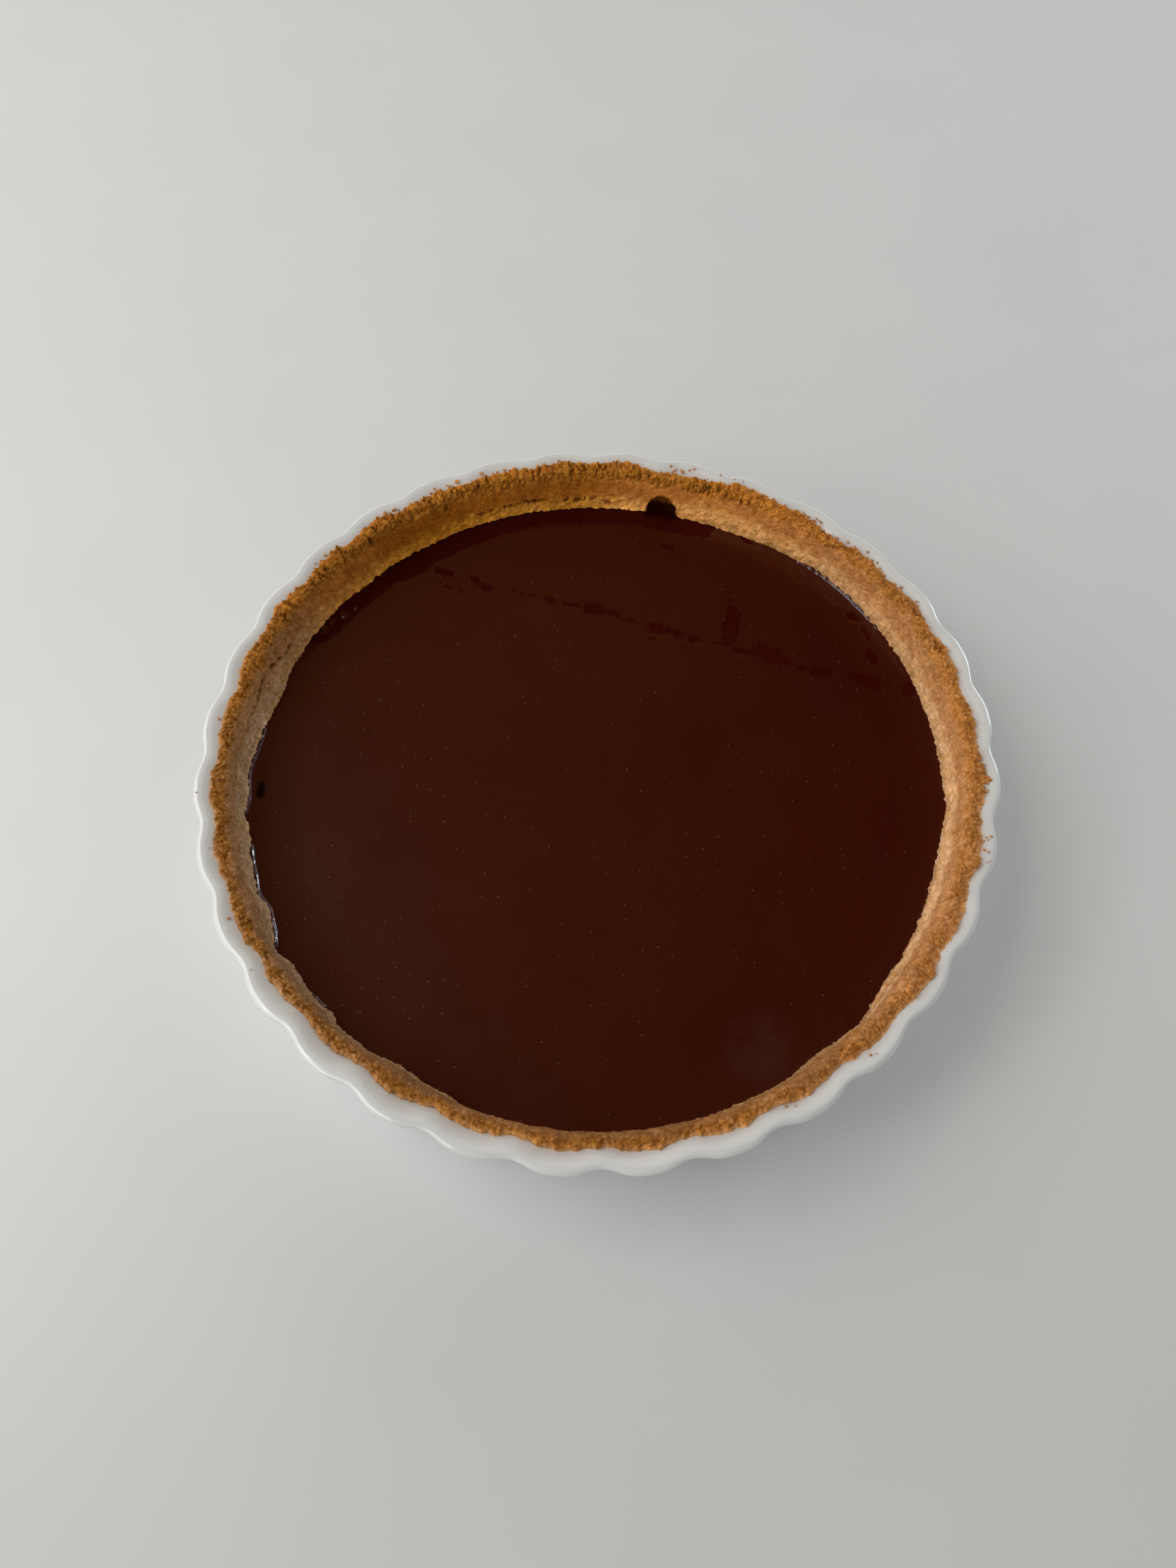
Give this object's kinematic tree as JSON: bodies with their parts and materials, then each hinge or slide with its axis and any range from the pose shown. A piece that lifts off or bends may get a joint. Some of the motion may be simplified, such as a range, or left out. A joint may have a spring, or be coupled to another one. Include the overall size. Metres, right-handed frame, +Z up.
{
  "type": "chocolate tart in a fluted dish",
  "caption": "Round shortcrust tart filled level with smooth dark chocolate, baked and served in its own white fluted porcelain dish.",
  "frame": {"origin": "centre of the dish's outline on the surface it stands on", "axes": "+Z up through the tart; -Y towards the front"},
  "size_m": [0.2814, 0.281, 0.0434],
  "materials": {
    "porcelain": "glossy white glaze",
    "shortcrust": "baked golden brown, matt and crumbly",
    "chocolate": "set chocolate, smooth and glossy"
  },
  "bodies": {
    "root": {"dish": "porcelain", "crust": "shortcrust", "filling": "chocolate"}
  },
  "joints": []
}
